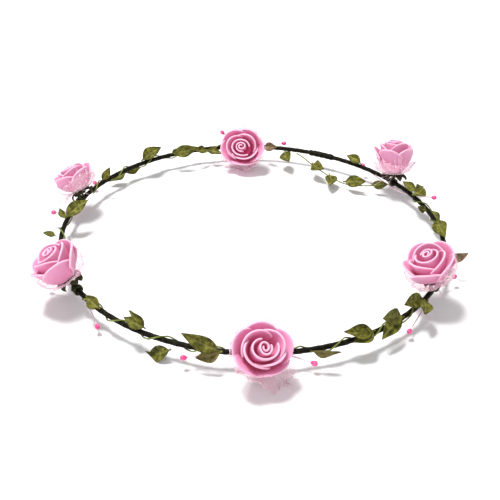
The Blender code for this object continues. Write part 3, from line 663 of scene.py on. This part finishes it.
# each rose: bare stem, azimuth and elevation from the wire to the foot of the head, the same of its face, head
# radius and depth, openness, squash along its down direction, which way the petals overlap, then the turn of the
# bud, and of each petal of the collar, middle and outer rings
roses = {
    1: (3.3, 261, 34, 288, 51, 12.4, 14.5, 1.0, 0.13, 1, 200, (320,), (30, 105, 205, 300), (17, 90, 165, 230, 302)),
    2: (3.8, 227, 76, 198, 68, 11.5, 16.0, 0.3, 0.0, -1, 60, (100,), (20, 140, 255), (60, 132, 204, 276, 348)),
    3: (2.9, 104, 72, 104, 72, 10.4, 18.5, 0.3, 0.0, 1, 10, (60,), (80, 200, 320), (136, 208, 280, 352, 64)),
    4: (3.6, 270, 8, 262, 36, 12.3, 14.5, 0.5, 0.17, 1, 120, (250,), (20, 140, 260), (5, 77, 149, 221, 293)),
    5: (4.4, 258, 77, 151, 61, 10.0, 13.5, 0.3, 0.0, -1, 40, (90,), (40, 160, 280), (100, 172, 244, 316, 28)),
    6: (4.2, 183, 59, 183, 59, 11.3, 16.5, 0.3, 0.0, -1, 80, (160,), (60, 180, 300), (112, 184, 256, 328, 40)),
}


def headMatrix(foot, axis):
    down = (axis.z * axis - upward).normalized()
    return Matrix.Translation(foot) @ Matrix((down, axis.cross(down), axis)).transposed().to_4x4()


def toWorld(matrix, grid):
    turn = np.array(matrix.to_3x3())
    return grid @ turn.T + np.array(matrix.translation)


def foamSheet(parts, matrix, grid, t, edgeV, edgeU, inside, outside, us, vs):
    # rounds the cut edges and marks how near each place is to a rim, for the painted rim highlight
    round1 = np.sqrt(np.clip(1 - (1 - np.clip(edgeV / t, 0, 1)) ** 2, 0, 1))
    round2 = np.sqrt(np.clip(1 - (1 - np.clip(edgeU / t, 0, 1)) ** 2, 0, 1))
    near = np.clip(1 - np.minimum(edgeV, edgeU * 0.8) / (1.3 * mm), 0, 1) ** 1.3
    # 0.97 is the level of the painted highlight along the rims
    rim = 0.97
    fields = {"shadeToRimLight": (outside + (rim - outside) * near, inside + (rim - inside) * near)}
    shell(parts, toWorld(matrix, grid), t * round1 * round2, us * 10, vs * 10, fields)


def addPetal(parts, matrix, turn, shape, rose, spacing, seed):
    look = roseLook
    rng = random.Random(seed)
    share, closedRim, openRim, halfDegrees, flare, droop = shape
    radius, depth, openness, squash, overlap = rose
    halfWidth = math.radians(halfDegrees) * rng.uniform(0.95, 1.06)
    height = (closedRim + (openRim - closedRim) * openness) * depth + rng.uniform(-0.3, 0.3) * mm
    flare *= (0.55 + 0.6 * openness) * mm
    countU, countV = look["petalGrid"]
    us = np.sin(np.linspace(-math.pi / 2, math.pi / 2, countU))
    vs = np.sin(np.linspace(0.0, math.pi / 2, countV))
    u, v = np.meshgrid(us, vs, indexing="ij")
    lean = rng.uniform(-0.10, 0.10)
    outline = 1.0 - droop * np.abs(u + lean) ** 2.3 + 0.012 * np.sin(4.1 * u + seed)
    z = height * outline * v ** 1.05
    bulge = np.sin(math.pi / 2 * np.clip(v, 0, 1) ** 0.80)
    curl = np.clip((v - 0.60) / 0.40, 0.0, 1.0) ** 2
    bodyRadius = share * radius - flare * 0.8
    r = look["footRadius"] + (bodyRadius - look["footRadius"]) * bulge
    r = r + overlap * spacing * u * (0.3 + 0.7 * v) + flare * curl * (1 - 0.7 * u * u)
    z = z - 0.35 * flare * curl ** 2
    r = r + 0.22 * mm * np.sin(2.7 * u + 1.3 * seed) * v
    angle = turn + halfWidth * u * (0.78 + 0.22 * v)
    r = r * (1 - squash * v * np.cos(angle) ** 2)
    grid = np.stack([r * np.cos(angle), r * np.sin(angle), z], axis=2)
    edgeV = (1 - v) * height * outline
    edgeU = (1 - np.abs(u)) * halfWidth * np.maximum(r, 2 * mm)
    # both skins darker towards the petal base and inner petals darker still: mostly painted shade deep in the head,
    # partly the petal's own deeper pink at its base
    inside = 0.30 * share + (0.66 - 0.30 * share) * v ** 1.3
    outside = 0.58 + 0.16 * v
    foamSheet(parts, matrix, grid, look["foamThickness"] / 2, edgeV, edgeU, inside, outside, us, vs)


def addBud(parts, matrix, spin, depth, seed):
    # the first strip is rolled into a loose spiral
    look = roseLook
    countU, countV = 72, 14
    share = np.linspace(0.0, 1.0, countU)
    vs = np.sin(np.linspace(0.0, math.pi / 2, countV))
    s, v = np.meshgrid(share, vs, indexing="ij")
    turns = look["budTurns"]
    r = look["budStart"] + look["budPitch"] * turns * s + 0.2 * mm * v * s
    angle = spin + 2 * math.pi * turns * s
    r = r * (1 + 0.14 * np.cos(2 * (angle - spin) + 0.6) * (1 - 0.6 * s))
    low = 0.4 * depth
    top = look["budTop"] * depth - 0.8 * mm * np.abs(2 * s - 1) ** 4 + 0.15 * mm * np.sin(9 * s + seed)
    z = low + (top - low) * v
    grid = np.stack([r * np.cos(angle), r * np.sin(angle), z], axis=2)
    edgeV = (1 - v) * (top - low)
    edgeU = np.minimum(s, 1 - s) * 2 * math.pi * turns * 2 * mm
    # the bud's inside is darker towards its bottom: painted shade in the centre of the rose
    inside = 0.55 * v ** 2.2
    foamSheet(parts, matrix, grid, look["foamThickness"] * 0.46, edgeV, edgeU, inside, 0.45 + 0.2 * v, share, vs)


def addCore(parts, matrix, rose):
    # a shallow dish that closes the bottom of the bud
    angles = np.linspace(0, 2 * math.pi, 32, endpoint=False)
    vs = np.linspace(0, 1, 5)
    a, v = np.meshgrid(angles, vs, indexing="ij")
    r = 0.3 * mm + roseLook["coreShare"] * rose[0] * v
    grid = np.stack([r * np.cos(a), r * np.sin(a), rose[1] * (0.30 + 0.06 * v * v)], axis=2)
    half = np.full(grid.shape[:2], roseLook["foamThickness"] / 2)
    # the dish is held at a low value: painted shade at the bottom of the bud
    shade = np.full(grid.shape[:2], 0.15)
    shell(parts, toWorld(matrix, grid), half, np.append(angles, 2 * math.pi), vs * 4, {"shadeToRimLight": (shade, shade)},
          closed=True)


def buildHead(number, matrix, rose, budTurn, rings):
    parts = meshParts()
    addCore(parts, matrix, rose)
    addBud(parts, matrix, math.radians(budTurn), rose[1], number)
    seed = number * 31
    for name, turns in zip(("collar", "middle", "outer"), rings):
        halfDegrees = roseLook[name][3]
        spacing = 1.05 * mm * halfDegrees * max(len(turns), 2) / 360
        for turn in turns:
            seed += 1
            addPetal(parts, matrix, math.radians(turn), roseLook[name], rose, spacing, seed)
    head = parts.finish(f"roseHead{number}", finish["foam"])
    settle(head, f"rose_{number}", "petal_foam", f"rose_{number}_head")


# calyx cup, neck and sepals
calyxLook = {
    "neckRadius": 1.0 * mm, "cupRadius": 3.9 * mm, "cupTop": 1.6 * mm, "thickness": 0.34 * mm,
    "sepals": 6, "sepalLength": 5.0 * mm, "sepalWidth": 3.8 * mm,
}


def buildCalyx(number, matrix):
    look = calyxLook
    rng = random.Random(500 + number)
    parts = meshParts()
    countU, countV = 48, 16
    angles = np.linspace(0, 2 * math.pi, countU, endpoint=False)
    vs = np.linspace(0, 1, countV)
    a, v = np.meshgrid(angles, vs, indexing="ij")
    drop = roseLook["neckDrop"]
    crinkle = 0.22 * mm * np.sin(11 * a + 3 * v + number) * v + 0.12 * mm * np.sin(23 * a - 5 * v)
    r = look["neckRadius"] + (look["cupRadius"] - look["neckRadius"]) * np.clip((v - 0.25) / 0.5, 0, 1) ** 0.8 + crinkle
    z = -drop + (drop + look["cupTop"]) * v ** 1.3 + 0.25 * mm * np.sin(5 * a + number) * v
    grid = np.stack([r * np.cos(a), r * np.sin(a), z], axis=2)
    half = np.full(grid.shape[:2], look["thickness"] / 2)
    uvU = np.append(angles, 2 * math.pi) * 3.0
    shell(parts, toWorld(matrix, grid), half, uvU, vs * 6, {}, closed=True)
    for k in range(look["sepals"]):
        turn = 2 * math.pi * (k + rng.uniform(-0.2, 0.2)) / look["sepals"]
        length = look["sepalLength"] * rng.uniform(0.8, 1.15)
        fall = rng.uniform(-0.9, 0.9)
        curlBack = rng.uniform(-0.8, 2.4)
        twist = rng.uniform(-1.2, 1.2)
        su, sv = 9, 22
        us, ss = np.linspace(-1, 1, su), np.linspace(0, 1, sv)
        sepal = np.zeros((su, sv, 3))
        thick = np.zeros((su, sv))
        radial, height = 2.6 * mm, -0.7 * mm
        for j, s in enumerate(ss):
            bend = -0.35 - fall * s * 0.6 - curlBack * s * s
            radial += math.cos(bend) * length / sv
            height += math.sin(bend) * length / sv
            width = look["sepalWidth"] / 2 * max(0.05, math.sin(math.pi * min(1.0, 0.22 + 0.78 * s)) ** 0.7)
            tip = twist * s
            for i, u in enumerate(us):
                sideways = width * u * math.cos(tip)
                lift = width * u * math.sin(tip) + 0.3 * mm * u * u + 0.14 * mm * math.sin(7 * s + 3 * u + k)
                x = radial - lift * math.sin(bend)
                z1 = height + lift * math.cos(bend)
                sepal[i, j] = (x * math.cos(turn) - sideways * math.sin(turn),
                               x * math.sin(turn) + sideways * math.cos(turn), z1)
                thick[i, j] = look["thickness"] / 2 * min(1.0, 4 * (1 - abs(u)) + 0.2)
        world = toWorld(matrix, sepal)
        world[..., 2] = np.maximum(world[..., 2], 0.25 * mm)
        shell(parts, world, thick, us * 2, ss * 6, {})
    calyx = parts.finish(f"calyx{number}", finish["calyx"])
    settle(calyx, f"rose_{number}", "calyx_paper", f"rose_{number}_calyx")


# tulle: the long lobe of each frill, its turn from straight down the head, reach, drop and half width
tulleLook = {
    "collar": 3.2 * mm, "thickness": 0.16 * mm, "grid": (132, 22), "folds": 13, "foldDepth": 0.55 * mm,
    "stripWidth": 0.016, "dotSpacing": 3.4 * mm, "dotRadius": 0.42 * mm,
}
tulleLobes = {1: (35, 17.5, 5.5, 52), 2: (-108, 16.0, -4.0, 34), 3: (-70, 13.0, -5.0, 55),
              4: (-25, 15.0, 3.0, 52), 5: (0, 18.0, 6.0, 50), 6: (95, 13.0, -4.5, 55)}


def buildTulle(number, matrix, radius):
    look = tulleLook
    turn, reach, drop, halfWidth = tulleLobes[number]
    countU, countV = look["grid"]
    rng = random.Random(900 + number)
    phases = [rng.uniform(0, 2 * math.pi) for _ in range(4)]
    angles = np.linspace(0, 2 * math.pi, countU, endpoint=False)
    vs = np.linspace(0, 1, countV)
    a, v = np.meshgrid(angles, vs, indexing="ij")
    away = (np.degrees(a) - turn + 180) % 360 - 180
    lobe = np.cos(math.pi / 2 * np.clip(np.abs(away) / halfWidth, 0, 1)) ** 1.1
    fold = np.sin(look["folds"] * a + phases[0]) + 0.5 * np.sin(5 * a + phases[1])
    ragged = 1 + 0.07 * np.sin(17 * a + phases[2]) + 0.05 * np.sin(29 * a + phases[3])
    # the short side hugs the outside of the petals, the long lobe hangs away from them
    hugRise = (7.4 + 2.0 * np.sin(2 * a + phases[1])) * mm * ragged
    hugR = 1.4 * mm + (radius * 1.03 - 1.4 * mm) * np.sin(math.pi / 2 * np.clip(v * 1.15, 0, 1) ** 0.8)
    hugZ = -roseLook["tulleDrop"] + hugRise * v ** 1.5
    spreadR = 1.4 * mm + (reach * mm * ragged - 1.4 * mm) * v
    spreadZ = -roseLook["tulleDrop"] - drop * mm * np.clip(v * 1.1 - 0.15, 0, 1) ** 1.4
    r = hugR * (1 - lobe) + spreadR * lobe
    z = hugZ * (1 - lobe) + spreadZ * lobe
    depth = look["foldDepth"] * np.clip(v * 1.6, 0, 1)
    r = r + depth * 0.6 * fold * (1 - lobe)
    z = z + depth * fold * lobe + 0.1 * mm * np.sin(31 * a + 9 * v)
    grid = toWorld(matrix, np.stack([r * np.cos(a), r * np.sin(a), z], axis=2))
    grid[..., 2] = np.maximum(grid[..., 2], 0.12 * mm + 0.1 * mm * v)
    half = np.full(grid.shape[:2], look["thickness"] / 2)
    parts = meshParts()
    uvU = np.append(angles, 2 * math.pi) * 9.0
    shell(parts, grid, half, uvU, vs * 14, {}, closed=True)
    tulle = parts.finish(f"tulleFrill{number}", finish["tulle"])
    settle(tulle, f"rose_{number}", "tulle", f"rose_{number}_tulle")
    dots = grown(f"tulleDots{number}", tulle.data.copy(), dotTree, {
        "Spacing": look["dotSpacing"], "Dot radius": look["dotRadius"], "Seed": number, "Material": finish["dot"]})
    settle(dots, f"rose_{number}", "tulle")
    return grid


# loose filaments frayed from the cut tulle
frayLook = {"radius": 0.07 * mm, "hemThreads": 24, "calyxThreads": 11}


def buildThreads(number, matrix, grid):
    rng = random.Random(1300 + number)
    axis = np.array(matrix.to_3x3().col[2])
    centre = np.array(matrix.translation)
    paths = []
    for _ in range(frayLook["hemThreads"]):
        i = rng.randrange(grid.shape[0])
        start = Vector(grid[i, -1])
        out = (start - Vector(grid[i, -5])).normalized()
        away = out + Vector((rng.uniform(-0.5, 0.5), rng.uniform(-0.5, 0.5), rng.uniform(-0.3, 0.5)))
        length = rng.uniform(1.5, 6.5) * mm
        bend = Vector((rng.uniform(-1, 1), rng.uniform(-1, 1), rng.uniform(-1, 0.3)))
        knots = [start - out * 0.4 * mm + away * length * s + bend * 0.35 * length * s * s for s in (0, 0.35, 0.7, 1)]
        for knot in knots:
            knot.z = max(knot.z, 0.25 * mm)
        paths.append(smoothPath(knots, 5))
    base = Vector(centre - axis * 1.6 * mm)
    for _ in range(frayLook["calyxThreads"]):
        out = Vector((rng.uniform(-1, 1), rng.uniform(-1, 1), rng.uniform(-0.2, 1.0))).normalized()
        out = (out - Vector(axis) * 0.5).normalized()
        length = rng.uniform(6.0, 11.0) * mm
        bend = Vector((rng.uniform(-1, 1), rng.uniform(-1, 1), rng.uniform(-1, 0.5)))
        knots = [base + out * (1.5 * mm + length * s) + bend * 0.15 * length * s * s for s in (0, 0.35, 0.7, 1)]
        for knot in knots:
            knot.z = max(knot.z, 0.25 * mm)
        paths.append(smoothPath(knots, 5))
    threads = strands(f"frayedThreads{number}", paths, finish["thread"], frayLook["radius"], 5)
    settle(threads, f"rose_{number}", "tulle")


stemLook = {"radius": 0.45 * mm, "coilRadius": 1.95 * mm, "coilPitch": 1.25 * mm, "coilTurns": 2.25,
            "socketDepth": 2.5 * mm, "clearance": 0.3 * mm, "straight": 1.0 * mm, "landing": 0.5}


def buildStem(number, point, along, foot, axis):
    look = stemLook
    neck = foot - roseLook["neckDrop"] * axis
    lean = neck - point
    lean = (lean - lean.dot(along) * along).normalized()
    side = along.cross(lean)
    top = foot + (look["socketDepth"] - look["clearance"]) * axis
    landing = point + look["coilRadius"] * side
    aboveLanding = landing + look["landing"] * look["coilRadius"] * lean
    path = smoothPath([top, neck, neck - look["straight"] * axis, aboveLanding, landing], 8)[:-1]
    perTurn = 28
    for step in range(round(look["coilTurns"] * perTurn) + 1):
        turn = 2 * math.pi * step / perTurn
        swing = math.cos(turn) * side - math.sin(turn) * lean
        path.append(point + look["coilRadius"] * swing + look["coilPitch"] * step / perTurn * along)
    stem = strands(f"stemWire{number}", [path], finish["stem"], look["radius"], 10, 1.6 * mm, 0.05 * mm,
                   0.12 * mm, 1500.0)
    settle(stem, f"rose_{number}", "stem_tape", f"rose_{number}_stem")
    return lean


# stamens: length along the ring from the stem, distance outside the wire, height above it
stamenLook = {"threadRadius": 0.3 * mm, "pearlRadius": 1.25 * mm, "offset": 2.95 * mm, "back": 5 * mm, "ahead": 6 * mm}
pearls = {
    1: ((-31, 4.5, -3), (22, 4.5, -4)), 2: ((-30, 5, -4.5), (17, 6, -3)), 3: ((-25, 8, 2), (26, 4, -1)),
    4: ((-23, 5, 1), (12, 8, 6)), 5: ((-23, 8, -4), (16, 9, 0)), 6: ((-14, 9, -3), (24, 4.5, -5)),
}


def addPearl(parts, centre, along, radius, stretch):
    # a lacquered drop, drawn out towards its thread
    countU, countV = 20, 13
    side = along.orthogonal().normalized()
    across = along.cross(side)
    points, faces = [centre + along * radius * stretch], []
    for j in range(1, countV):
        t = math.pi * j / countV
        width = radius * math.sin(t)
        lengthwise = radius * math.cos(t)
        if lengthwise < 0:
            lengthwise *= stretch
            width *= 1 - 0.25 * (1 - math.sin(t))
        for i in range(countU):
            a = 2 * math.pi * i / countU
            points.append(centre + along * lengthwise + (side * math.cos(a) + across * math.sin(a)) * width)
    points[0] = centre + along * radius
    points.append(centre - along * radius * stretch)
    last = len(points) - 1
    for i in range(countU):
        n = (i + 1) % countU
        faces.append((0, 1 + i, 1 + n))
        for j in range(countV - 2):
            a, b = 1 + j * countU, 1 + (j + 1) * countU
            faces.append((a + i, b + i, b + n, a + n))
        a = 1 + (countV - 2) * countU
        faces.append((a + i, last, a + n))
    uvs = [(0.0, 0.0)] * sum(len(f) for f in faces)
    parts.add(points, faces, uvs, {})


def buildStamens(number, angle, lean):
    look = stamenLook
    point, along, _ = ringFrame(angle)
    under = point - look["offset"] * lean
    ends = []
    for length, out, rise in pearls[number]:
        place, _, outward = ringFrame(angle + ringDegrees(length * mm))
        ends.append(place + out * mm * outward + rise * mm * upward)
    back, ahead = under - look["back"] * along, under + look["ahead"] * along
    sag = 0.6 * mm * lean
    knots = [ends[0], (ends[0] + back) / 2 - sag, back, ahead, (ends[1] + ahead) / 2 - sag, ends[1]]
    path = smoothPath(knots, 10)
    thread = strands(f"stamenThread{number}", [path], finish["thread"], look["threadRadius"], 8,
                     unevenness=0.08 * mm, grain=1500.0)
    settle(thread, "ring", "stamen", f"rose_{number}_stamens")
    parts = meshParts()
    for end, inner in ((ends[0], path[4]), (ends[1], path[-5])):
        addPearl(parts, end, (end - inner).normalized(), look["pearlRadius"], 1.55)
    drops = parts.finish(f"stamenPearls{number}", finish["pearl"])
    settle(drops, "ring", "stamen")


def buildRoses():
    for number, values in roses.items():
        bareStem, leanAz, leanEl, faceAz, faceEl, radius, depth, openness, squash, overlap, budTurn, *rings = values
        joint = joints[f"rose_{number}_tilt"]
        point = Vector(joint["pos_m"])
        outward = (point - ringCentre).normalized()
        angle = math.degrees(math.atan2(outward.y, outward.x))
        along = upward.cross(outward)
        axis = direction(faceAz, faceEl)
        foot = point + (roseLook["neckDrop"] + bareStem * mm) * direction(leanAz, leanEl)
        matrix = headMatrix(foot, axis)
        buildHead(number, matrix, (radius * mm, depth * mm, openness, squash, overlap), budTurn, rings)
        buildCalyx(number, matrix)
        grid = buildTulle(number, matrix, radius * mm)
        buildThreads(number, matrix, grid)
        lean = buildStem(number, point, along, foot, axis)
        buildStamens(number, angle, lean)
        print("rose", number, "made")


buildStudio()
finish = {
    "foam": foamMaterial(),
    "leaf": leafMaterial(),
    "tape": tapeMaterial(),
    "vine": paperMaterial("paperCoveredVine", "#4A5220", "#707B34", "#9AA556", 0.7, 600.0, 0.00007),
    "calyx": paperMaterial("crinkledCalyxPaper", "#100E03", "#2C2C0E", "#555A22", 0.75, 900.0, 0.00015),
    "stem": paperMaterial("floralTapeStem", "#14150A", "#2A2E14", "#4E5528", 0.7, 900.0, 0.00006),
    "tulle": tulleMaterial(),
    # cotton flock: soft white fibres with no shine
    "dot": plainMaterial("whiteFlock", "#F3E6EC", "#FFFFFF", 0.95, 2500.0, 0.00005),
    # nylon filament: pale and slightly glossy
    "thread": plainMaterial("nylonFilament", "#F0A9C6", "#F6E6EC", 0.4, 300.0, 0.00002),
    # pearl lacquer over a cotton tip: hot pink with a clear hard shine
    "pearl": plainMaterial("pearlLacquer", "#D42A78", "#F05A9C", 0.22, 500.0, 0.00002, Coat_Weight=0.8),
    # annealed iron wire: dark grey scale with a dull shine
    "steel": plainMaterial("annealedWire", "#3A3733", "#56524C", 0.45, 1200.0, 0.00002, Metallic=1.0),
}
tubeTree = buildTubeTree()
dotTree = buildDotTree()
frame["nodes"]["ring_core_wire"].data.materials.clear()
frame["nodes"]["ring_core_wire"].data.materials.append(finish["steel"])
buildRing()
buildVines()
buildLeaves()
buildStrand()
buildRoses()
